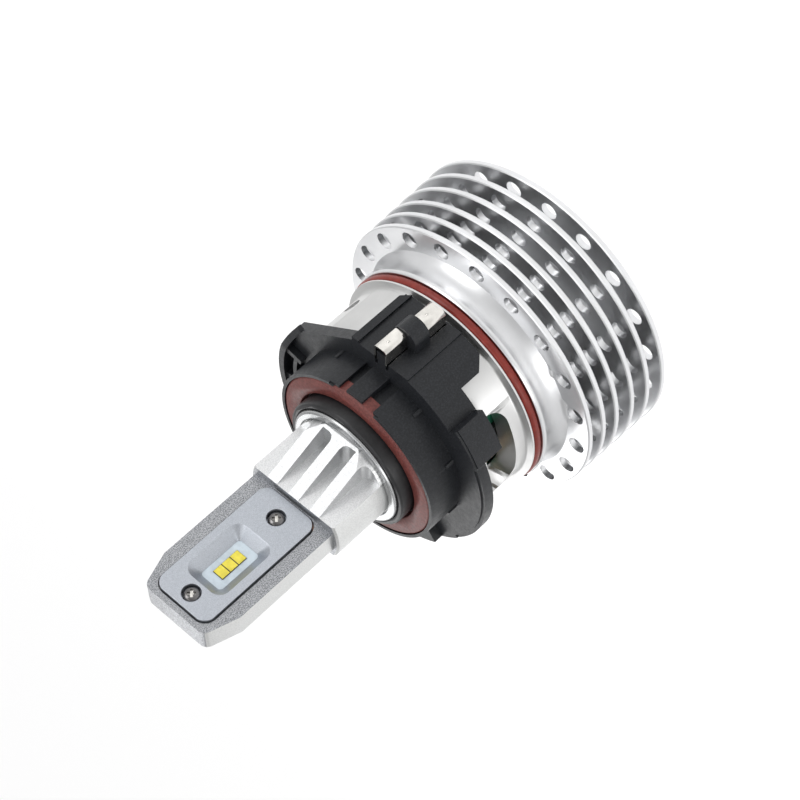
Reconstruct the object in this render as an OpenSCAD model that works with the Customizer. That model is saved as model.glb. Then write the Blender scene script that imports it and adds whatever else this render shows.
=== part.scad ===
// LED headlight bulb with a plug-in base collar, finned heat sink and flat two-sided lamp stem.
// The axis is Z: the heat sink's flat back face is at z = 0 and the tip points up.
// The front LED face looks towards -Y, and the contacts stand on the -Y side.

/* [Heat sink] */
// Radius of the rear fin
sink_r = 21; // [20.6:0.1:24]
// How much smaller each fin is than the one behind it
fin_step = 0.1; // [0:0.05:0.1]
// Thickness of a fin
fin_t = 0.86; // [0.7:0.02:1.1]
// Pitch of the rear fins
rear_pitch = 2.88; // [2.7:0.02:3]
// Pitch of the front fins
front_pitch = 2.4; // [2.3:0.02:2.5]
// Radius of the solid core between the fins
core_r = 14.5; // [14.2:0.1:15.5]
// Number of holes round each fin
vent_count = 20; // [12:1:22]
// Radius of a fin hole
vent_r = 1.2; // [0.8:0.05:1.3]
// Radius of the ring of fin holes
vent_ring_r = 18.6; // [18.3:0.1:18.8]
// Depth of the heat sink's floor
sink_floor = 4; // [3.2:0.1:4.4]

/* [Boss and neck] */
// Radius of the boss where it meets the front fin
boss_root_r = 16.9; // [16.6:0.1:17]
// Radius of the boss's front lip
boss_lip_r = 16.35; // [16.1:0.05:16.5]
// Length of the boss in front of the fins
boss_h = 3.7; // [3.4:0.1:4]
// Outer radius of the neck
neck_r = 14.85; // [14.6:0.05:14.9]
// Outer radius of the neck's flange
neck_flange_r = 15.95; // [15.7:0.05:16.1]
// Inner radius of the driver space
cavity_r = 11.9; // [11.6:0.1:12]
// Radius of the red body ring's cross-section
o_ring_t = 0.62; // [0.5:0.02:0.66]

/* [Base collar] */
// Radius of the pilot that enters the lamp housing
pilot_r = 12.9; // [12.7:0.05:13.1]
// Outer radius of the seating flange
flange_r = 17; // [16.8:0.1:17.4]
// Height of the seating flange's rear face
flange_z = 28.2; // [28.2:0.1:28.4]
// Thickness of the seating flange
flange_t = 1.7; // [1.5:0.1:1.9]
// Height of the pilot's front rim
pilot_top = 34.95; // [34.5:0.05:35.1]
// Radius of the spigot that the collar turns on
spigot_r = 9.7; // [9.5:0.05:9.7]
// Running clearance between collar and spigot
run_gap = 0.05; // [0.03:0.01:0.08]

/* [Contacts] */
// Thickness of the contact strip
strip_t = 0.25; // [0.2:0.05:0.3]
// Height of the contact crowns from the axis
crown_y = 18; // [17.8:0.1:18.2]

/* [Stem] */
// Radius of the stem's round body
stem_r = 7.45; // [7.3:0.05:7.6]
// Height of the step between round body and blade
step_z = 45.8; // [45.4:0.1:46]
// Height of the tip
tip_z = 66.05; // [65.8:0.05:66.4]
// Half width of the blade
blade_w = 6.55; // [6.3:0.05:6.8]
// Half thickness of the blade
blade_t = 1.7; // [1.6:0.05:1.8]
// Half width of a cover plate
plate_w = 4.4; // [4.2:0.05:4.5]
// How far a cover plate stands proud of the blade
plate_proud = 0.37; // [0.3:0.01:0.4]

/* [Hidden] */
$fn = 96;
e = 0.01;                       // overshoot of a cut past the face it opens
slip = 0.02;                    // gap round a piece that is pressed or bonded in

fins = 6;
front_fins = 3;                 // fins on the shorter pitch
rear_fins = fins - front_fins;
fin_face = [for (i = [0:fins - 1])
    fin_t + min(i, rear_fins) * rear_pitch + max(0, i - rear_fins) * front_pitch];
sink_z = fin_face[fins - 1];    // front face of the front fin
vent_phase = -4;
fin_chamfer = 0.14;
boss_sag = 0.34;                // hollow of the boss's flare
lip_z = sink_z + boss_h;
pocket_r = cavity_r + 0.7;      // heat sink pocket that the neck plugs into
plug_z = lip_z - 6;             // lower end of the neck's plug
back_recess_r = 9;
back_recess_h = 0.5;
bolt_r = 1.5;
bolt_head_r = 2.75;
bolt_head_h = 1.6;
bolt_seat = 2.2;                // depth of the bolt's counterbore

o_ring_r = neck_flange_r + 0.2 - o_ring_t;
o_ring_z = lip_z + o_ring_t;
neck_flange_z = lip_z + 2 * o_ring_t;
neck_top = flange_z - 0.05;
cavity_top = neck_top - 1.2;
collar_z = 34;                  // top of the spigot, seat of the stem's collar
stem_seat_r = 8;
window_a = -170;
window_z = 24.1;
window_half = 6.7;
window_r = 2.5;
fill_a = -38;
fill_z = 23;
fill_r = 1.2;

flange_front = flange_z + flange_t;
bore_r = spigot_r + run_gap;
lug_clear_r = pilot_r + 0.85;   // room round the pilot for the housing's rim
seat_z = 33.1;                  // floor of the gasket's seat
gasket_ro = 12.45;
gasket_ri = 9.85;
gasket_top = 34.9;
skirt_ri = neck_r + 0.1;        // inside of what hugs the neck
skirt_ro = 15.72;
skirt_z = 25.2;
chord_a = -54.5;                // direction of the flange's flat
chord_d = 15.15;
lug_r = 17.25;

carrier_z = 20.3;
carrier_floor = 15.4;
carrier_left = 4.85;
carrier_wall = 1.1;
carrier_wall_top = 15.8;
carrier_step = -4.4;
carrier_end = -124;
bay_r = pilot_r + 0.7;          // inner edge of the bay that the carrier fills in the flange
front_clip_z = 26.5;
front_clip_len = 3.6;
front_clip_w = 1;
front_clip_x = -0.12;
front_clip_round = 0.5;
rear_clip_z = 20.7;
rear_clip_len = 3.1;
rear_clip_w = 1.35;
rear_clip_round = 0.9;
rear_clip_x = -0.75;
leg_end = 15.3;                 // how near the axis the clip legs reach
clip_gap = 0.1;
lead_x = 0.9;
lead_z = 25;
lead_r = 0.45;
lead_slot = 3;                  // half width of the neck slot, room to clock the collar

collar_r = 8.7;
collar_top = 37.1;
ramp_foot = 3.2;                // ramp's height above the mid plane at the step
ramp_head = 6.9;                // and where it meets the collar
rib_floor = 3.15;               // height of the channels' floor above the mid plane
rib_w = 1.63;
channel_w = 1.95;
shank_r = 5;
core_w = 4.2;
core_t = 0.35;                  // half thickness of the copper core
core_low = 20;
plate_low = 46.1;
plate_high = 65.1;
plate_corner = 1.6;
plate_gap = 0.19;
plate_y = blade_t + plate_proud;
screw_z = [48.8, 63.1];
screw_r = 1.12;
screw_shank_r = 0.7;
screw_sink = 0.1;
led_z = 56.8;                   // middle of the LEDs
board_w = 1.8;
board_h = 3.38;
board_lip = 0.1;                // how far the plate's window overlaps the board
board_t = 0.32;
chip_w = 1.58;
chip_h = 1.24;
chip_pitch = 1.38;
chip_t = 0.2;
window_w = 3.15;
window_h = 4.6;

pcb_x = -9.85;
pcb_t = 1.2;
pcb_w = 11;
pcb_low = 4.5;
pcb_high = 26.4;
pot_top = 19.5;
cap_x = 8.6;
cap_r = 3;
cap_low = 5;
cap_h = 9;

// ---- shared shapes ----

module ring(ri, ro, z0, z1) {
    translate([0, 0, z0]) difference() {
        cylinder(r = ro, h = z1 - z0);
        translate([0, 0, -e]) cylinder(r = ri, h = z1 - z0 + 2 * e);
    }
}

module sector(a0, a1, z0, z1) {
    reach = 40;
    steps = ceil((a1 - a0) / 20);
    translate([0, 0, z0]) linear_extrude(z1 - z0)
        polygon(concat([[0, 0]], [for (i = [0:steps])
            reach * [cos(a0 + (a1 - a0) * i / steps), sin(a0 + (a1 - a0) * i / steps)]]));
}

module arc_block(ri, ro, z0, z1, a0, a1) {
    intersection() {
        ring(ri, ro, z0, z1);
        sector(a0, a1, z0 - e, z1 + e);
    }
}

module box(x0, x1, y0, y1, z0, z1) {
    translate([x0, y0, z0]) cube([x1 - x0, y1 - y0, z1 - z0]);
}

// Upright flat shape in the XZ plane, between two distances on the -Y side.
module front_slab(near, far) {
    translate([0, -near, 0]) rotate([90, 0, 0]) linear_extrude(far - near) children();
}

module rounded(w, h, r) {
    square([2 * w - 2 * r, 2 * h], center = true);
    square([2 * w, 2 * h - 2 * r], center = true);
    for (x = [-1, 1], y = [-1, 1])
        translate([x * (w - r), y * (h - r)]) circle(r = r, $fn = 32);
}

module rear() {
    rotate([0, 0, 180]) children();
}

// ---- heat sink ----

module fin(i) {
    r = sink_r - fin_step * i;
    c = fin_chamfer;
    translate([0, 0, fin_face[i] - fin_t]) rotate_extrude()
        polygon([[core_r - 1, 0], [r - c, 0], [r, c], [r, fin_t - c], [r - c, fin_t], [core_r - 1, fin_t]]);
}

module boss() {
    steps = 8;
    rotate_extrude() polygon(concat(
        [[core_r - 1, sink_z - fin_t]],
        [[boss_root_r, sink_z - fin_t]],
        [for (i = [0:steps]) let (t = i / steps)
            [boss_root_r + (boss_lip_r - boss_root_r) * t - 4 * boss_sag * t * (1 - t),
             sink_z + (boss_h - 0.25) * t]],
        [[boss_lip_r - 0.2, lip_z], [core_r - 1, lip_z]]));
}

module heat_sink() {
    color("gainsboro") difference() {
        union() {
            for (i = [0:fins - 1]) fin(i);
            boss();
            cylinder(r = core_r, h = lip_z);
        }
        translate([0, 0, sink_floor]) cylinder(r = pocket_r, h = lip_z);
        for (k = [0:vent_count - 1]) rotate([0, 0, vent_phase + k * 360 / vent_count])
            translate([vent_ring_r, 0, -1]) cylinder(r = vent_r, h = sink_z + 2, $fn = 48);
        translate([0, 0, -e]) cylinder(r = back_recess_r, h = back_recess_h + e);
        translate([0, 0, -e]) cylinder(r = bolt_head_r + 0.25, h = bolt_seat + e);
        translate([0, 0, -e]) cylinder(r = bolt_r + slip, h = sink_floor + 1);
    }
}

module stem_bolt() {
    color("dimgray") difference() {
        union() {
            translate([0, 0, bolt_seat - bolt_head_h]) cylinder(r = bolt_head_r, h = bolt_head_h);
            translate([0, 0, bolt_seat - e]) cylinder(r = bolt_r, h = 9);
        }
        translate([0, 0, bolt_seat - bolt_head_h - e]) cylinder(r = 1.25, h = 1 + e, $fn = 6);
    }
}

// ---- neck ----

module neck_profile() {
    polygon([
        [cavity_r, plug_z], [pocket_r - slip, plug_z], [pocket_r - slip, lip_z],
        [o_ring_r - o_ring_t - slip, lip_z], [o_ring_r - o_ring_t - slip, neck_flange_z],
        [neck_flange_r - 0.1, neck_flange_z], [neck_flange_r, neck_flange_z + 0.1],
        [neck_flange_r, neck_flange_z + 0.35], [neck_flange_r - 0.75, neck_flange_z + 0.5],
        [neck_r + 0.08, neck_flange_z + 0.62], [neck_r, neck_flange_z + 0.75],
        [neck_r, neck_top - 0.3], [neck_r - 0.3, neck_top], [spigot_r, neck_top],
        [spigot_r, collar_z - 0.2], [spigot_r - 0.2, collar_z], [stem_seat_r, collar_z],
        [stem_seat_r, cavity_top], [cavity_r, cavity_top]
    ]);
}

module neck_body() {
    color("silver") difference() {
        rotate_extrude() neck_profile();
        rotate([0, 0, window_a]) translate([neck_r + 2, 0, window_z]) rotate([90, 0, -90])
            linear_extrude(6.5) {
                square([2 * window_half - 2 * window_r, 2 * window_r], center = true);
                for (s = [-1, 1]) translate([s * (window_half - window_r), 0]) circle(r = window_r);
            }
        rotate([0, 0, fill_a]) translate([cavity_r - 2, 0, fill_z]) rotate([0, 90, 0])
            cylinder(r = fill_r, h = 6, $fn = 48);
        box(-lead_slot, lead_slot, -neck_r - 1, -cavity_r + 1.5, lead_z - 0.8, lead_z + 0.8);
    }
}

module body_o_ring() {
    color("firebrick") translate([0, 0, o_ring_z]) rotate_extrude()
        translate([o_ring_r, 0]) circle(r = o_ring_t - 0.01, $fn = 32);
}

module fill_hole_plug() {
    color("darkgray") rotate([0, 0, fill_a]) translate([cavity_r + 0.3, 0, fill_z]) rotate([0, 90, 0])
        cylinder(r = fill_r - slip, h = 2.1, $fn = 48);
}

// ---- stem ----

module blade_outline() {
    polygon([[-blade_w, step_z - 1], [blade_w, step_z - 1], [blade_w, tip_z - 4.7], [5.25, tip_z - 0.75],
             [4.95, tip_z - 0.3], [4.35, tip_z], [-4.35, tip_z], [-4.95, tip_z - 0.3],
             [-5.25, tip_z - 0.75], [-blade_w, tip_z - 4.7]]);
}

// Everything above the slanted face on one side of the round body.
module ramp_side() {
    rotate([90, 0, 90]) linear_extrude(4 * stem_r, center = true)
        polygon([[-ramp_head, collar_top], [-ramp_foot, step_z], [-ramp_foot, step_z + 1],
                 [-2 * stem_r, step_z + 1], [-2 * stem_r, collar_top]]);
}

// A flat-floored channel beside a rib. It starts at the step and ends round at the collar.
module channel(x0, x1, round_x) {
    end_z = collar_top + 0.4;
    r = channel_w / 2;
    translate([0, -rib_floor, 0]) rotate([90, 0, 0]) linear_extrude(2 * stem_r) {
        translate([x0, end_z + r]) square([x1 - x0, step_z - end_z]);
        translate([round_x, end_z + r]) circle(r = r, $fn = 48);
        translate([min(round_x, x1), end_z]) square([max(x1 - round_x, 0) + e, 2 * r]);
    }
}

module round_body() {
    top = step_z - collar_top;
    difference() {
        translate([0, 0, collar_top - 1]) rotate_extrude() polygon([
            [0, 0], [stem_r, 0], [stem_r, top + 0.75], [stem_r - 0.25, top + 1], [0, top + 1]]);
        for (side = [0, 180]) rotate([0, 0, side]) {
            ramp_side();
            for (s = [0, 1]) mirror([s, 0, 0]) {
                channel(rib_w / 2, rib_w / 2 + channel_w, (rib_w + channel_w) / 2);
                channel(1.5 * rib_w + channel_w, stem_r + 1, 1.5 * (rib_w + channel_w));
            }
        }
    }
}

module collar_profile() {
    polygon([[0, cavity_top], [stem_seat_r - slip, cavity_top], [stem_seat_r - slip, collar_z],
             [collar_r, collar_z], [collar_r, collar_top - 0.4], [collar_r - 0.12, collar_top - 0.15],
             [collar_r - 0.4, collar_top], [stem_r + 0.25, collar_top], [stem_r + 0.05, collar_top - 0.35],
             [0, collar_top - 0.35]]);
}

module lamp_stem() {
    color("lightgray") difference() {
        union() {
            translate([0, 0, sink_floor]) cylinder(r = shank_r, h = cavity_top - sink_floor + e);
            rotate_extrude() collar_profile();
            round_body();
            front_slab(-blade_t, blade_t) blade_outline();
        }
        front_slab(-blade_t - 1, blade_t + 1) translate([0, (plate_low + plate_high) / 2])
            rounded(plate_w + plate_gap, (plate_high - plate_low) / 2 + plate_gap,
                    plate_corner + plate_gap);
        box(-core_w - slip, core_w + slip, -core_t - slip, core_t + slip,
            core_low, plate_low + plate_corner);
        box(-shank_r - 1, shank_r + 1, -core_t - slip, core_t + slip, core_low, cavity_top - 1);
        translate([0, 0, sink_floor - e]) cylinder(r = bolt_r + slip, h = 8);
    }
}

module stem_seal_ring() {
    ri = collar_r + slip;
    ro = 9.55;
    color("black") rotate_extrude() polygon([
        [ri, collar_z + e], [ro, collar_z + e], [ro, 36.35], [ro - 0.1, 36.55],
        [ro - 0.3, 36.65], [ri + 0.2, 36.65], [ri, 36.5]]);
}

module core_plate() {
    color("peru") difference() {
        union() {
            box(-core_w, core_w, -core_t, core_t, core_low + slip, plate_low + plate_corner);
            front_slab(-core_t, core_t) translate([0, (plate_low + plate_high) / 2])
                rounded(core_w, (plate_high - plate_low) / 2 - 0.1, plate_corner);
        }
        for (z = screw_z) translate([0, 0, z]) rotate([90, 0, 0])
            cylinder(r = screw_shank_r + slip, h = 2, center = true, $fn = 32);
    }
}

// ---- LEDs and covers, made for the front and turned round for the rear ----

module led_board() {
    color("lightblue") front_slab(core_t, core_t + board_t)
        translate([0, led_z]) rounded(board_w, board_h, 0.35);
}

module led_chips() {
    near = core_t + board_t;
    color("gold") for (k = [-1:1]) translate([-chip_w / 2, -near - chip_t, led_z + k * chip_pitch - chip_h / 2])
        cube([chip_w, chip_t, chip_h]);
}

module plate_window() {
    hull() {
        front_slab(plate_y, plate_y + 0.1) translate([0, led_z])
            rounded(window_w + 0.06, window_h + 0.06, 1.5);
        front_slab(core_t + board_t, core_t + board_t + e) translate([0, led_z])
            rounded(board_w - board_lip, board_h - board_lip, 0.5);
    }
    // seat for the board under the window's lip
    front_slab(core_t - 0.1, core_t + board_t + e) translate([0, led_z])
        rounded(board_w + slip, board_h + slip, 0.35);
}

module cover_plate() {
    color("lightsteelblue") difference() {
        front_slab(core_t + e, plate_y) translate([0, (plate_low + plate_high) / 2])
            rounded(plate_w, (plate_high - plate_low) / 2, plate_corner);
        plate_window();
        for (z = screw_z) translate([0, 0, z]) rotate([90, 0, 0]) {
            cylinder(r = screw_shank_r + 0.1, h = 5, $fn = 48);
            translate([0, 0, plate_y - 0.8]) cylinder(r = screw_r + 0.12, h = 2, $fn = 48);
        }
    }
}

module cover_screws() {
    head_y = plate_y - screw_sink;
    head_low = plate_y - 0.8 + e;
    color("darkslategray") for (z = screw_z) translate([0, 0, z]) rotate([90, 0, 0]) difference() {
        union() {
            translate([0, 0, 0.05]) cylinder(r = screw_shank_r, h = head_low, $fn = 48);
            translate([0, 0, head_low]) rotate_extrude($fn = 48) polygon([
                [0, 0], [screw_r, 0], [screw_r, head_y - head_low - 0.4],
                [screw_r - 0.1, head_y - head_low - 0.24], [screw_r - 0.28, head_y - head_low - 0.1],
                [screw_r - 0.5, head_y - head_low - 0.02], [0, head_y - head_low]]);
        }
        for (a = [45, 135]) rotate([0, 0, a]) translate([-0.55, -0.16, head_y - 0.3]) cube([1.1, 0.36, 1]);
    }
}

module led_board_front() { led_board(); }
module led_board_rear() { rear() led_board(); }
module led_chips_front() { led_chips(); }
module led_chips_rear() { rear() led_chips(); }
module cover_plate_front() { cover_plate(); }
module cover_plate_rear() { rear() cover_plate(); }
module cover_screws_front() { cover_screws(); }
module cover_screws_rear() { rear() cover_screws(); }

// ---- driver ----

module driver_board() {
    color("seagreen") box(pcb_x - pcb_t / 2, pcb_x + pcb_t / 2, -pcb_w / 2, pcb_w / 2, pcb_low, pcb_high);
}

module driver_chip() {
    color("black") box(pcb_x - pcb_t / 2 - 0.7, pcb_x - pcb_t / 2, -3.2, 0.4, 21, 24.6);
}

module driver_inductor() {
    x0 = pcb_x + pcb_t / 2;
    color("dimgray") translate([x0, 0, 15]) rotate([0, 90, 0]) {
        cylinder(r = 2.5, h = 0.6);
        cylinder(r = 1.6, h = 2.6);
        translate([0, 0, 2.1]) cylinder(r = 2.5, h = 0.6);
    }
}

module driver_capacitors() {
    x1 = pcb_x - pcb_t / 2;
    color("tan") for (z = [21.6, 23.2, 24.8]) box(x1 - 0.7, x1, 1, 3.2, z - 0.45, z + 0.45);
}

module bulk_capacitor() {
    color("midnightblue") translate([cap_x, 0, cap_low]) cylinder(r = cap_r, h = cap_h);
}

module driver_potting() {
    color("whitesmoke") difference() {
        translate([0, 0, sink_floor + e]) cylinder(r = cavity_r - slip, h = pot_top - sink_floor);
        translate([0, 0, sink_floor - 1]) cylinder(r = shank_r + slip, h = pot_top);
        box(pcb_x - pcb_t / 2 - slip, pcb_x + pcb_t / 2 + slip, -pcb_w / 2 - slip, pcb_w / 2 + slip,
            pcb_low - slip, pot_top + 1);
        translate([pcb_x, 0, 15]) rotate([0, 90, 0]) cylinder(r = 2.5 + slip, h = 6);
        translate([cap_x, 0, cap_low - slip]) cylinder(r = cap_r + slip, h = cap_h + 2 * slip);
    }
}

module core_leads() {
    color("red") for (z = [22.3, 24.3])
        translate([pcb_x + pcb_t / 2, 0, z]) rotate([0, 90, 0])
            cylinder(r = 0.3, h = -core_w - pcb_x - pcb_t / 2 - slip, $fn = 32);
}

// ---- base collar ----

// Bay in the flange that the contact carrier fills.
module contact_bay() {
    difference() {
        polygon([[carrier_left + slip, -20], [carrier_left + slip, 0], [0, 0],
                 25 * [cos(carrier_end), sin(carrier_end)]]);
        circle(r = bay_r);
    }
}

module flange_disc() {
    difference() {
        arc_block(bore_r, flange_r, flange_z, flange_front, -180, 180);
        rotate([0, 0, chord_a]) translate([chord_d, -20, flange_z - 1]) cube([10, 40, 5]);
        // front pockets between the rim and the pilot, with ribs left between them
        for (s = [[-8, 10], [16, 50], [68, 108]])
            arc_block(pilot_r + 0.5, flange_r - 0.9, flange_front - 1.1, flange_front + 1, s[0], s[1]);
        // the plain part has a fine step just inside its edge
        arc_block(flange_r - 0.5, flange_r + 1, flange_front - 0.2, flange_front + 1, 138, 204);
        // right side is cut back to the skirt
        arc_block(skirt_ro, flange_r + 1, flange_z - 1, flange_front + 1, -135.5, -104);
        translate([0, 0, flange_z - 1]) linear_extrude(5) contact_bay();
    }
}

module left_lug() {
    // raised arc wall on the +X side that ramps up, with cross ribs behind it
    difference() {
        arc_block(16.2, flange_r + 0.1, flange_front - 0.5, 31.3, -32, 14);
        rotate([0, 0, -32]) translate([12, -0.5, flange_front]) rotate([16.5, 0, 0]) cube([8, 9, 4]);
    }
    for (a = [-14, 6]) arc_block(lug_clear_r, 16.4, flange_front - 1, 30.9, a - 1.6, a + 1.6);
    arc_block(14.3, 14.9, flange_front - 1, 30.9, -14, 6);
}

module bottom_lug() {
    arc_block(lug_clear_r, flange_r, flange_front - 0.5, 31.2, 115, 126);
}

module pilot() {
    difference() {
        ring(bore_r, pilot_r, flange_z, pilot_top);
        translate([0, 0, seat_z]) cylinder(r = gasket_ro, h = 5);
        // notch for the keyed housing, with the tongue left standing in it
        box(-3.1, -1.3, -20, -11.9, flange_front, pilot_top + 1);
        box(1.3, 2.5, -20, -11.9, flange_front, pilot_top + 1);
        box(-4, 4, -20, -12, pilot_top - 0.3, pilot_top + 1);
        box(-1.3 - e, 1.3 + e, -20, -12.85, flange_front, pilot_top + 1);
    }
    // small stiffening ribs at the pilot's foot
    for (a = [-120, -60, 35, 160, 205])
        arc_block(pilot_r - 0.2, pilot_r + 0.2, flange_front - 1.1, flange_front + 1.3, a - 1, a + 1);
}

module skirt() {
    arc_block(skirt_ri, skirt_ro, skirt_z, flange_z + 0.2, -135.5, carrier_end);
    arc_block(skirt_ri, lug_r, skirt_z + 0.1, flange_front - 0.3, -155, -135.5);
}

module base_collar() {
    color("darkslategray") {
        difference() {
            union() {
                flange_disc();
                arc_block(pilot_r - 0.3, skirt_ro, flange_z, flange_front, -150, carrier_end);
            }
            sector(carrier_end, -70, 0, flange_z - 1);
        }
        pilot();
        skirt();
        left_lug();
        bottom_lug();
    }
}

module base_gasket() {
    color("brown") rotate_extrude() polygon([
        [gasket_ri, seat_z], [gasket_ro - slip, seat_z], [gasket_ro - slip, gasket_top - 0.35],
        [gasket_ro - 0.12, gasket_top - 0.12], [gasket_ro - 0.35, gasket_top],
        [gasket_ri + 0.1, gasket_top], [gasket_ri, gasket_top - 0.1]]);
}

module carrier_outline() {
    steps = 6;
    a0 = -90 - asin(-carrier_step / skirt_ro);
    a1 = carrier_end;
    polygon(concat(
        [[carrier_left, 1 - bay_r], [carrier_left, -carrier_wall_top],
         [carrier_left - carrier_wall, -carrier_wall_top],
         [carrier_left - carrier_wall, -carrier_floor], [carrier_step, -carrier_floor]],
        [for (i = [0:steps]) let (a = a0 + (a1 - a0) * i / steps) skirt_ro * [cos(a), sin(a)]],
        [bay_r * [cos(a1), sin(a1)]]));
}

// Post that stands inside a clip and stops it when it is pressed in.
module post(x, w, z, len, top) {
    half = w - strip_t - clip_gap;
    box(x - half, x + half, -top, -carrier_floor + 0.2, z, z + len);
}

module contact_carrier() {
    mid_z0 = rear_clip_z + rear_clip_len + clip_gap;
    mid_z1 = front_clip_z - clip_gap;
    color("black") difference() {
        union() {
            translate([0, 0, carrier_z]) linear_extrude(flange_front - carrier_z) carrier_outline();
            // barrel between the two clips
            translate([-0.6, -16.6, mid_z0]) cylinder(r = 1.9, h = mid_z1 - mid_z0, $fn = 64);
            box(-2.5, lead_x + lead_r + 0.25, -16.6, -carrier_floor + 0.2, mid_z0, mid_z1);
            post(front_clip_x, front_clip_w, mid_z1 - 0.2, front_clip_len + 0.2, 16.9);
            post(rear_clip_x, rear_clip_w, rear_clip_z, rear_clip_len + 0.3, 16.5);
        }
        // hollow side that rides round the neck and over the collar's shoulder
        translate([0, 0, carrier_z - 1]) cylinder(r = skirt_ri, h = flange_z - carrier_z + 1 - slip);
        translate([0, 0, flange_z - slip]) cylinder(r = bay_r, h = 5);
        sector(-70, 90, carrier_z - 1, flange_z);
        // chamfered corners at the back
        rotate([0, 0, carrier_end]) translate([15, 0, carrier_z]) rotate([45, 0, 0])
            cube([10, 2.4, 2.4], center = true);
        translate([carrier_left, -20, carrier_z]) rotate([0, 45, 0]) cube([1.6, 10, 1.6], center = true);
        leg_slots(front_clip_x, front_clip_w, front_clip_z, front_clip_len + 1);
        leg_slots(rear_clip_x, rear_clip_w, rear_clip_z, rear_clip_len);
        for (s = [-1, 1]) translate([s * lead_x, -16.2, lead_z]) rotate([-90, 0, 0])
            cylinder(r = lead_r + slip, h = 3, $fn = 32);
    }
}

// Slots in the carrier's floor for the two legs of a clip.
module leg_slots(x, w, z, len) {
    half = strip_t / 2 + clip_gap;
    for (s = [-1, 1]) {
        middle = x + s * (w - strip_t / 2);
        box(middle - half, middle + half, -16.4, -14, z - clip_gap, z + len + clip_gap);
    }
}

module contact_leads() {
    color("orangered") for (s = [-1, 1]) translate([s * lead_x, -16.15, lead_z]) rotate([-90, 0, 0])
        cylinder(r = lead_r, h = 3.4, $fn = 32);
}

module arch(w, round_r, top) {
    translate([-w, -top + round_r]) square([2 * w, top - round_r - leg_end]);
    translate([-w + round_r, -top]) square([2 * (w - round_r), round_r + e]);
    for (s = [-1, 1]) translate([s * (w - round_r), -top + round_r]) circle(r = round_r, $fn = 48);
}

module clip(x, w, round_r, z, len) {
    color("white") {
        translate([x, 0, z]) linear_extrude(len) difference() {
            arch(w, round_r, crown_y);
            arch(w - strip_t, round_r - strip_t, crown_y - strip_t);
            translate([-w + strip_t, -leg_end - 1]) square([2 * (w - strip_t), 2]);
        }
        translate([x, -crown_y + 0.12, z + 0.6 * len]) sphere(r = 0.24, $fn = 32);
    }
}

module contact_clip_front() {
    clip(front_clip_x, front_clip_w, front_clip_round, front_clip_z, front_clip_len);
}

module contact_clip_rear() {
    clip(rear_clip_x, rear_clip_w, rear_clip_round, rear_clip_z, rear_clip_len);
}

heat_sink();
stem_bolt();
neck_body();
body_o_ring();
fill_hole_plug();
lamp_stem();
stem_seal_ring();
core_plate();
led_board_front();
led_board_rear();
led_chips_front();
led_chips_rear();
cover_plate_front();
cover_plate_rear();
cover_screws_front();
cover_screws_rear();
driver_board();
driver_chip();
driver_inductor();
driver_capacitors();
bulk_capacitor();
driver_potting();
core_leads();
base_collar();
base_gasket();
contact_carrier();
contact_leads();
contact_clip_front();
contact_clip_rear();
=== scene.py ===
"""LED headlight bulb: meshes with rounded edges, materials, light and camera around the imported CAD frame."""
import math

import bmesh
import bpy
from mathutils import Matrix, Vector


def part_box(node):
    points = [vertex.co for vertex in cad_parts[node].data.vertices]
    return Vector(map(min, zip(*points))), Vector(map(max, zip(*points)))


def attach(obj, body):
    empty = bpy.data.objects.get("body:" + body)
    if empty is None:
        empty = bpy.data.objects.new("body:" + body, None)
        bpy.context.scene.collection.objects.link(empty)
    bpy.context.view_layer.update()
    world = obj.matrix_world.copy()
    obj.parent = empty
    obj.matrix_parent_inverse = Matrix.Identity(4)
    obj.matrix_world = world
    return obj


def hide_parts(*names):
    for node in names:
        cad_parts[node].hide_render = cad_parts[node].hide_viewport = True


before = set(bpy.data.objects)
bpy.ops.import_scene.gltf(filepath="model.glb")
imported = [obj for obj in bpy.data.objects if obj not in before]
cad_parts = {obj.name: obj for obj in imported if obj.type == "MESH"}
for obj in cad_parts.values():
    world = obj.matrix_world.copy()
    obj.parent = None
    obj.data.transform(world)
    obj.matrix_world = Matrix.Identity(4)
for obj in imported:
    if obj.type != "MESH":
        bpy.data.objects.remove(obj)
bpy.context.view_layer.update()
MM = 0.001

# ---------------------------------------------------------------- places taken from the frame
SINK_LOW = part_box("heat_sink")[0]
CHIPS_LOW, CHIPS_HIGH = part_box("led_chips_front")
SCREW_FACE = -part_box("cover_screws_front")[0].y     # outer face of a screw head, from the middle plane

# ---------------------------------------------------------------- places on the stem
COLLAR_TOP = 37.1 * MM          # top of the stem's machined collar
STEP_Z = 45.8 * MM              # step between the round body and the blade
RIB_FLOOR = 3.15 * MM           # height of the channels' floor
SIDE_X = 5 * MM                 # the stem's narrow sides lie further out than this
LAND_X = 4.6 * MM               # the slanted lands lie within this

# ---------------------------------------------------------------- camera, light and mesh settings
CAMERA_PLACE = (-114.145, -236.990, 144.0065)       # millimetres
CAMERA_AZIMUTH, CAMERA_ELEVATION, CAMERA_ROLL = 26.08, 24.30, -131.42
CAMERA_LENS = 102.76
LOOK_HEIGHT = 30 * MM           # point on the axis that the area lights aim at
FLOOR_DROP = 120 * MM           # floor below the heat sink's back face
SUN_POWER = 1.5
SUN_SPREAD = 80
WORLD_STOPS = [(0.0, 0.94), (0.1, 0.9), (0.3, 0.66), (0.55, 0.52), (0.75, 0.5), (1.0, 0.55)]
AREA_LIGHTS = (
    ("key", (0.25, -0.42, 0.22), (0.22, 0.3), 0.7),
    ("side", (-0.45, -0.1, 0.16), (0.2, 0.3), 0.5),
    ("back", (0.1, 0.45, 0.25), (0.3, 0.2), 0.4),
)
MERGE_DISTANCE = 1e-6           # metres
FLAT_ANGLE = 0.4                # faces closer than this, in degrees, become one


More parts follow.
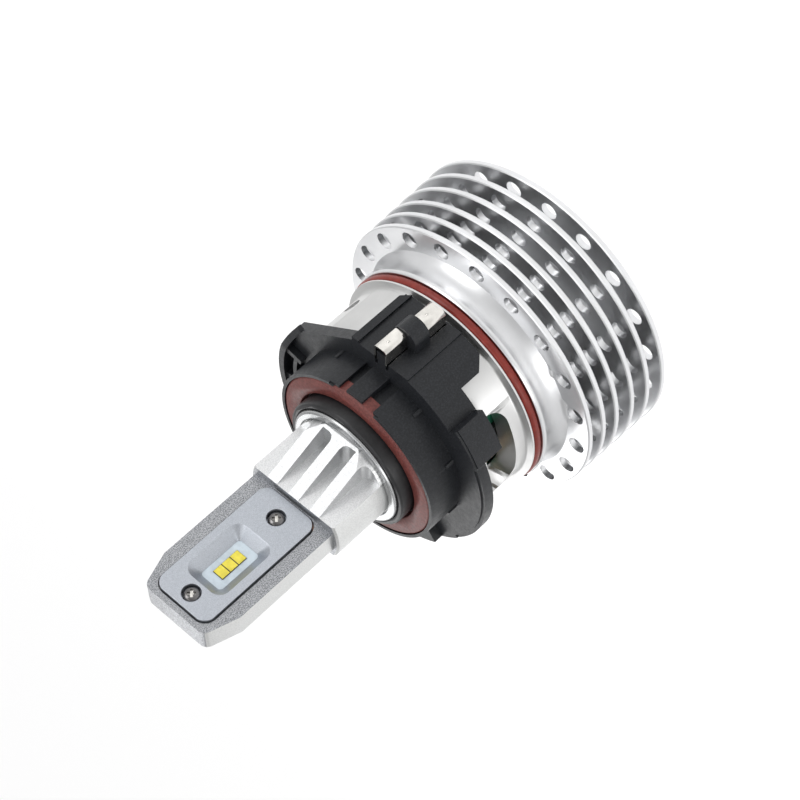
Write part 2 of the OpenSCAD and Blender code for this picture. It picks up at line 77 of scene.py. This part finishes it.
# ---------------------------------------------------------------- camera
def make_camera():
    """Looks down at the front and right of the lamp, rolled so that the tip points down and left."""
    azimuth, elevation = math.radians(CAMERA_AZIMUTH), math.radians(CAMERA_ELEVATION)
    forward = Vector((math.sin(azimuth) * math.cos(elevation),
                      math.cos(azimuth) * math.cos(elevation), -math.sin(elevation)))
    data = bpy.data.cameras.new("camera")
    data.sensor_width = 36
    data.lens = CAMERA_LENS
    data.clip_start, data.clip_end = 0.01, 20
    camera = bpy.data.objects.new("camera", data)
    camera.location = Vector(CAMERA_PLACE) * MM
    level = forward.to_track_quat("-Z", "Y").to_matrix()
    roll = Matrix.Rotation(math.radians(CAMERA_ROLL), 3, "Z")
    camera.rotation_euler = (level @ roll).to_euler()
    bpy.context.scene.collection.objects.link(camera)
    bpy.context.scene.camera = camera


# ---------------------------------------------------------------- shader helpers
def shader(name, colour, rough, metal=0.0, **more):
    mat = bpy.data.materials.new(name)
    mat.use_nodes = True
    sockets = bsdf(mat).inputs
    sockets["Base Color"].default_value = (*colour, 1)
    sockets["Roughness"].default_value = rough
    sockets["Metallic"].default_value = metal
    for key, value in more.items():
        sockets[key.replace("_", " ")].default_value = value
    return mat


def add(mat, kind, **settings):
    """A new shader node; each setting is one of its properties or one of its input sockets."""
    made = mat.node_tree.nodes.new(kind)
    for key, value in settings.items():
        if hasattr(made, key):
            setattr(made, key, value)
        else:
            made.inputs[key.replace("_", " ")].default_value = value
    return made


def link(mat, out, into):
    mat.node_tree.links.new(out, into)


def bsdf(mat):
    return mat.node_tree.nodes["Principled BSDF"]


def place(mat):
    """Object coordinates in millimetres."""
    coords = add(mat, "ShaderNodeTexCoord")
    mapping = add(mat, "ShaderNodeMapping")
    mapping.inputs["Scale"].default_value = [1 / MM] * 3
    link(mat, coords.outputs["Object"], mapping.inputs["Vector"])
    return mapping.outputs["Vector"]


def noise(mat, size, detail=3.0):
    """Soft noise whose blotches are about size millimetres across."""
    made = add(mat, "ShaderNodeTexNoise", Scale=1 / size, Detail=detail, Roughness=0.6)
    link(mat, place(mat), made.inputs["Vector"])
    return made.outputs["Fac"]


def turning(mat, pitch):
    """Lathe lines: noise that changes only with radius and height, pitch millimetres apart."""
    flat = add(mat, "ShaderNodeVectorMath", operation="MULTIPLY")
    flat.inputs[1].default_value = (1, 1, 0)
    where = place(mat)
    link(mat, where, flat.inputs[0])
    radius = add(mat, "ShaderNodeVectorMath", operation="LENGTH")
    link(mat, flat.outputs["Vector"], radius.inputs[0])
    split = add(mat, "ShaderNodeSeparateXYZ")
    link(mat, where, split.inputs[0])
    total = add(mat, "ShaderNodeMath", operation="ADD")
    link(mat, radius.outputs["Value"], total.inputs[0])
    link(mat, split.outputs["Z"], total.inputs[1])
    made = add(mat, "ShaderNodeTexNoise", noise_dimensions="1D", Scale=1 / pitch, Detail=2.0)
    link(mat, total.outputs[0], made.inputs["W"])
    return made.outputs["Fac"]


def tint(mat, fac, low, high, start=0.35, end=0.65):
    """Base colour that runs from low to high as fac does."""
    ramp = add(mat, "ShaderNodeValToRGB")
    first, last = ramp.color_ramp.elements
    first.position, last.position = start, end
    first.color, last.color = (*low, 1), (*high, 1)
    link(mat, fac, ramp.inputs["Fac"])
    link(mat, ramp.outputs["Color"], bsdf(mat).inputs["Base Color"])


def roughen(mat, fac, low, high):
    """Roughness that runs from low to high as fac does."""
    spread = add(mat, "ShaderNodeMapRange")
    spread.inputs["From Min"].default_value = 0.3
    spread.inputs["From Max"].default_value = 0.7
    spread.inputs["To Min"].default_value = low
    spread.inputs["To Max"].default_value = high
    link(mat, fac, spread.inputs["Value"])
    link(mat, spread.outputs["Result"], bsdf(mat).inputs["Roughness"])


def emboss(mat, fac, depth):
    """Bump of depth millimetres, added to whatever bump is there already."""
    made = add(mat, "ShaderNodeBump", Strength=1.0, Distance=depth * MM)
    link(mat, fac, made.inputs["Height"])
    normal = bsdf(mat).inputs["Normal"]
    if normal.is_linked:
        link(mat, normal.links[0].from_socket, made.inputs["Normal"])
    link(mat, made.outputs["Normal"], normal)


# ---------------------------------------------------------------- materials
def turned_metal(name, colour, rough, lines, brushed):
    """Turned aluminium: fine lathe lines, cloudy roughness and highlights drawn out across the lines."""
    mat = shader(name, colour, rough, 1.0, Anisotropic=brushed)
    tangent = add(mat, "ShaderNodeTangent", direction_type="RADIAL", axis="Z")
    link(mat, tangent.outputs["Tangent"], bsdf(mat).inputs["Tangent"])
    tint(mat, noise(mat, 6, 3), [c * 0.94 for c in colour], colour)
    roughen(mat, noise(mat, 4, 3), rough * 0.92, rough * 1.12)
    emboss(mat, turning(mat, 0.09), lines)
    emboss(mat, noise(mat, 0.08, 2), 0.0004)
    return mat


def blasted_metal(name, dark, light, grain, depth, rough):
    """Bead-blasted cast aluminium: packed grains that catch the light one by one."""
    mat = shader(name, light, rough, 1.0)
    grains = noise(mat, grain, 2)
    tint(mat, grains, dark, light, 0.38, 0.62)
    roughen(mat, noise(mat, grain * 2.5, 3), rough * 0.85, rough * 1.15)
    emboss(mat, grains, depth)
    emboss(mat, noise(mat, grain * 5, 2), depth * 0.8)
    return mat


def moulded_plastic(name, dark, light, rough):
    """Black moulded plastic: fine sparkling grain over low, wide waves."""
    mat = shader(name, light, rough, Specular_IOR_Level=0.3)
    tint(mat, noise(mat, 0.22, 4), dark, [1.5 * c for c in light], 0.45, 0.8)
    roughen(mat, noise(mat, 0.7, 4), rough * 0.85, rough * 1.2)
    emboss(mat, noise(mat, 0.14, 2), 0.02)
    emboss(mat, noise(mat, 1.2, 3), 0.01)
    return mat


def silicone(name, dark, light, rough, blotch=0.9):
    """Soft rubber with blotches of colour about blotch millimetres across."""
    mat = shader(name, light, rough, Specular_IOR_Level=0.38)
    tint(mat, noise(mat, blotch, 5), dark, light)
    roughen(mat, noise(mat, 0.5, 4), rough * 0.85, rough * 1.15)
    emboss(mat, noise(mat, 0.12, 3), 0.006)
    emboss(mat, noise(mat, 2.5, 2), 0.02)
    return mat


def plain_detail(name, colour, rough, metal=0.0, size=0.3, depth=0.003):
    """A small part's material: clouded colour and a fine grain."""
    mat = shader(name, colour, rough, metal)
    tint(mat, noise(mat, size * 3, 3), [c * 0.8 for c in colour], colour)
    roughen(mat, noise(mat, size * 2, 3), rough * 0.85, rough * 1.2)
    emboss(mat, noise(mat, size, 3), depth)
    return mat


SINK = turned_metal("sink_metal", (0.72, 0.725, 0.735), 0.30, 0.0022, 0.35)
NECK = turned_metal("neck_metal", (0.66, 0.66, 0.655), 0.38, 0.002, 0.3)
COLLAR = turned_metal("machined_collar", (0.46, 0.465, 0.47), 0.26, 0.0012, 0.2)
LAND = blasted_metal("machined_land", (0.42, 0.425, 0.43), (0.58, 0.585, 0.59), 0.11, 0.004, 0.42)
SMOOTH_CAST = blasted_metal("smooth_cast", (0.62, 0.625, 0.62), (0.72, 0.725, 0.72), 0.16, 0.0015, 0.38)
FLUTE = blasted_metal("flute_metal", (0.58, 0.585, 0.59), (0.74, 0.745, 0.75), 0.12, 0.004, 0.36)
CAST = blasted_metal("cast_metal", (0.15, 0.155, 0.165), (0.47, 0.48, 0.50), 0.12, 0.011, 0.40)
COVER = blasted_metal("cover_metal", (0.37, 0.39, 0.425), (0.47, 0.495, 0.535), 0.10, 0.005, 0.42)
PLASTIC = moulded_plastic("base_plastic", (0.009, 0.010, 0.012), (0.016, 0.0175, 0.0205), 0.38)
GASKET = silicone("red_gasket", (0.085, 0.020, 0.017), (0.165, 0.041, 0.034), 0.46, 0.3)
RED_RING = silicone("red_seal", (0.16, 0.016, 0.010), (0.22, 0.024, 0.015), 0.36)
BLACK_RING = silicone("black_seal", (0.007, 0.007, 0.008), (0.013, 0.013, 0.0145), 0.36)
# nickel of the contact clips, also used as the painted glint on the floor of the screws' driver recesses
NICKEL_AND_PAINTED_GLINT = plain_detail("nickel", (0.74, 0.72, 0.68), 0.13, 1.0, 0.6, 0.006)
DARK_STEEL = plain_detail("dark_steel", (0.17, 0.165, 0.165), 0.2, 1.0, 0.3, 0.002)
COPPER = plain_detail("copper", (0.80, 0.43, 0.28), 0.35, 1.0)
LED_BOARD = plain_detail("led_board", (0.56, 0.64, 0.70), 0.35, 0.0, 0.5, 0.001)
PHOSPHOR = plain_detail("phosphor", (0.82, 0.70, 0.07), 0.5, 0.0, 0.3, 0.004)
# dark sheet for the painted shade in the gaps between the emitters
GAP_SHADE = plain_detail("painted_gap_shade", (0.05, 0.045, 0.03), 0.5, 0.0, 0.1, 0.003)
BOARD_GREEN = plain_detail("circuit_board", (0.015, 0.13, 0.07), 0.3, 0.0, 0.4, 0.004)
BLACK_PART = plain_detail("component_black", (0.03, 0.03, 0.03), 0.45)
TAN_PART = plain_detail("component_tan", (0.52, 0.38, 0.24), 0.5)
SLEEVE = plain_detail("component_sleeve", (0.04, 0.05, 0.18), 0.35)
POTTING = silicone("potting", (0.52, 0.53, 0.52), (0.66, 0.67, 0.66), 0.35)
PLUG = plain_detail("grey_plug", (0.42, 0.42, 0.42), 0.5)
LEAD = plain_detail("lead_red", (0.5, 0.04, 0.03), 0.4)
FLOOR = shader("floor", (0.97, 0.97, 0.97), 0.8)


# ---------------------------------------------------------------- mesh helpers
def make_object(name, mesh):
    obj = bpy.data.objects.new(name, mesh)
    bpy.context.scene.collection.objects.link(obj)
    return obj


def merged_mesh(node, mats, pick, deep):
    """A copy of the CAD node's mesh with flat faces made whole and materials given to its faces."""
    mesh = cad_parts[node].data.copy()
    mesh.name = node + "_fine"
    work = bmesh.new()
    work.from_mesh(mesh)
    bmesh.ops.remove_doubles(work, verts=work.verts, dist=MERGE_DISTANCE)
    bmesh.ops.dissolve_limit(work, angle_limit=math.radians(FLAT_ANGLE), verts=work.verts, edges=work.edges)
    for face in work.faces:
        face.smooth = True
        face.material_index = pick(face.calc_center_median(), face.normal) if pick else 0
    if deep:
        weights = work.edges.layers.float.new("bevel_weight_edge")
        for edge in work.edges:
            edge[weights] = 1.0 if deep(edge) else 0.0
    mesh.materials.clear()
    for mat in mats:
        mesh.materials.append(mat)
    work.to_mesh(mesh)
    work.free()
    return mesh


def round_floor(obj, width):
    """The larger rounding, on the edges that carry a bevel weight."""
    hollow = obj.modifiers.new("round_floor", "BEVEL")
    hollow.width = width * MM
    hollow.segments = 5
    hollow.limit_method = "WEIGHT"


def round_edges(obj, width, angle):
    """The small rounding, on every edge sharper than angle degrees."""
    bevel = obj.modifiers.new("round_edges", "BEVEL")
    bevel.width = width * MM
    bevel.segments = 2
    bevel.limit_method = "ANGLE"
    bevel.angle_limit = math.radians(angle)
    bevel.use_clamp_overlap = True
    bevel.miter_outer = "MITER_ARC"
    weigh = obj.modifiers.new("even_normals", "WEIGHTED_NORMAL")
    weigh.keep_sharp = True
    weigh.weight = 50


def refined(node, mats, body, width, angle, pick=None, deep=None, deep_width=0.0):
    """The CAD node's shape as its own mesh, its edges rounded by width millimetres.

    With width 0 the edges stay as they are and those above angle degrees are shaded sharp.
    pick(face centre, face normal) gives the number of the material that a face takes.
    deep(edge) picks the edges that get the larger rounding deep_width first.
    """
    mesh = merged_mesh(node, mats, pick, deep)
    obj = make_object(node + "_fine", mesh)
    if deep:
        round_floor(obj, deep_width)
    if width:
        round_edges(obj, width, angle)
    else:
        mesh.set_sharp_from_angle(angle=math.radians(angle))
    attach(obj, body)
    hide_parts(node)


def slab(name, mat, low, high, body, width):
    """A plain block between two corners given in millimetres, with small rounded edges."""
    work = bmesh.new()
    bmesh.ops.create_cube(work, size=1)
    middle = (Vector(low) + Vector(high)) / 2 * MM
    spans = (Vector(high) - Vector(low)) * MM
    for vert in work.verts:
        vert.co = Vector([v * span for v, span in zip(vert.co, spans)]) + middle
    bmesh.ops.bevel(work, geom=list(work.edges), offset=width * MM, segments=2, affect="EDGES", profile=0.5)
    mesh = bpy.data.meshes.new(name)
    work.to_mesh(mesh)
    work.free()
    mesh.materials.append(mat)
    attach(make_object(name, mesh), body)


def dress(mats):
    """Better materials on the CAD nodes whose mesh stays as it is."""
    for node, mat in mats.items():
        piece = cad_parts[node]
        if not piece.data.materials:
            piece.data.materials.append(mat)
        for held in piece.material_slots:
            held.material = mat


# ---------------------------------------------------------------- pieces
def stem_faces(centre, normal):
    """0 blasted border, 1 machined collar, 2 smooth sides, 3 channels, 4 slanted lands."""
    if centre.z < COLLAR_TOP + 0.05 * MM:
        return 1
    if centre.z > STEP_Z - 0.1 * MM:
        return 2 if abs(normal.x) > 0.6 and abs(centre.x) > SIDE_X else 0
    if abs(normal.y) > 0.85 and normal.z > 0.15 and abs(centre.x) < LAND_X:
        return 4
    if abs(centre.x) > SIDE_X and abs(normal.x) > 0.3:
        return 2
    return 3


def channel_floor(edge):
    """True for the edges where a channel's floor meets its walls."""
    middle = (edge.verts[0].co + edge.verts[1].co) / 2
    if not COLLAR_TOP < middle.z < STEP_Z - 0.3 * MM or abs(abs(middle.y) - RIB_FLOOR) > 0.02 * MM:
        return False
    return len(edge.link_faces) == 2 and edge.calc_face_angle(0) > math.radians(30)


def screw_faces_painted_glint(centre, normal):
    """1 for the floor of the driver recess, which takes bright nickel as a painted glint in the dark head."""
    return 1 if abs(normal.y) > 0.9 and abs(centre.y) < SCREW_FACE - 0.15 * MM else 0


def metal_pieces():
    refined("heat_sink", [SINK], "lamp", 0.0, 24)
    refined("neck_body", [NECK], "lamp", 0.0, 24)
    refined("lamp_stem", [CAST, COLLAR, SMOOTH_CAST, FLUTE, LAND], "lamp", 0.2, 30,
            pick=stem_faces, deep=channel_floor, deep_width=0.6)
    for side in ("front", "rear"):
        refined("cover_plate_" + side, [COVER], "lamp", 0.08, 30)
        # each screw's recess floor takes nickel: a painted glint in the dark steel head
        refined("cover_screws_" + side, [DARK_STEEL, NICKEL_AND_PAINTED_GLINT], "lamp", 0.03, 30, screw_faces_painted_glint)
        refined("led_board_" + side, [LED_BOARD], "lamp", 0.01, 40)
        refined("led_chips_" + side, [PHOSPHOR], "lamp", 0.03, 40)


def base_pieces():
    refined("base_collar", [PLASTIC], "base", 0.10, 32)
    refined("contact_carrier", [PLASTIC], "base", 0.10, 32)
    refined("contact_clip_front", [NICKEL_AND_PAINTED_GLINT], "front_contact", 0.05, 32)
    refined("contact_clip_rear", [NICKEL_AND_PAINTED_GLINT], "rear_contact", 0.05, 32)


def painted_shade_beds():
    """Dark bed under each row of emitters, painted shade that shows as the dark lines between them."""
    low, high = CHIPS_LOW / MM, CHIPS_HIGH / MM
    for side, turn in (("front", 1), ("rear", -1)):
        near, far = sorted((turn * (low.y + 0.07), turn * (high.y + 0.01)))
        slab("painted_shade_bed_" + side, GAP_SHADE, (low.x - 0.05, near, low.z - 0.05),
             (high.x + 0.05, far, high.z + 0.05), "lamp", 0.01)


def seals():
    refined("body_o_ring", [RED_RING], "lamp", 0.0, 40)
    refined("stem_seal_ring", [BLACK_RING], "lamp", 0.0, 60)
    refined("base_gasket", [GASKET], "base", 0.0, 50)


# ---------------------------------------------------------------- stage and light
def area_light(name, place_at, size, power):
    """A white rectangle of light that aims at the lamp's middle."""
    data = bpy.data.lights.new(name, "AREA")
    data.shape = "RECTANGLE"
    data.size, data.size_y = size
    data.energy = power
    light = make_object(name, data)
    light.location = place_at
    aim = Vector((0, 0, LOOK_HEIGHT)) - Vector(place_at)
    light.rotation_euler = aim.to_track_quat("-Z", "Y").to_euler()


def make_stage():
    bpy.ops.mesh.primitive_plane_add(size=8, location=(0, 0, SINK_LOW.z - FLOOR_DROP))
    floor = bpy.context.object
    floor.name = "floor"
    floor.data.materials.append(FLOOR)


def make_light():
    sun = bpy.data.lights.new("sun", "SUN")
    sun.energy = SUN_POWER
    sun.angle = math.radians(SUN_SPREAD)
    make_object("sun", sun).rotation_euler = (math.radians(12), math.radians(8), 0)
    for name, place_at, size, power in AREA_LIGHTS:
        area_light(name, place_at, size, power)


def make_world():
    """A pale sky whose brightness changes with height."""
    world = bpy.data.worlds.new("studio")
    world.use_nodes = True
    tree = world.node_tree
    sky = tree.nodes.new("ShaderNodeTexCoord")
    height = tree.nodes.new("ShaderNodeSeparateXYZ")
    ramp = tree.nodes.new("ShaderNodeValToRGB")
    while len(ramp.color_ramp.elements) < len(WORLD_STOPS):
        ramp.color_ramp.elements.new(0.5)
    for element, (where, grey) in zip(ramp.color_ramp.elements, WORLD_STOPS):
        element.position = where
        element.color = (grey, grey, grey, 1)
    tree.links.new(sky.outputs["Generated"], height.inputs[0])
    tree.links.new(height.outputs["Z"], ramp.inputs["Fac"])
    tree.links.new(ramp.outputs["Color"], tree.nodes["Background"].inputs["Color"])
    tree.nodes["Background"].inputs["Strength"].default_value = 1.0
    bpy.context.scene.world = world


bpy.context.scene.view_settings.view_transform = "Standard"
make_camera()
metal_pieces()
base_pieces()
painted_shade_beds()
seals()
dress({
    "stem_bolt": DARK_STEEL, "fill_hole_plug": PLUG, "core_plate": COPPER,
    "driver_board": BOARD_GREEN, "driver_chip": BLACK_PART, "driver_inductor": BLACK_PART,
    "driver_capacitors": TAN_PART, "bulk_capacitor": SLEEVE, "driver_potting": POTTING,
    "core_leads": LEAD, "contact_leads": LEAD,
})
make_stage()
make_light()
make_world()
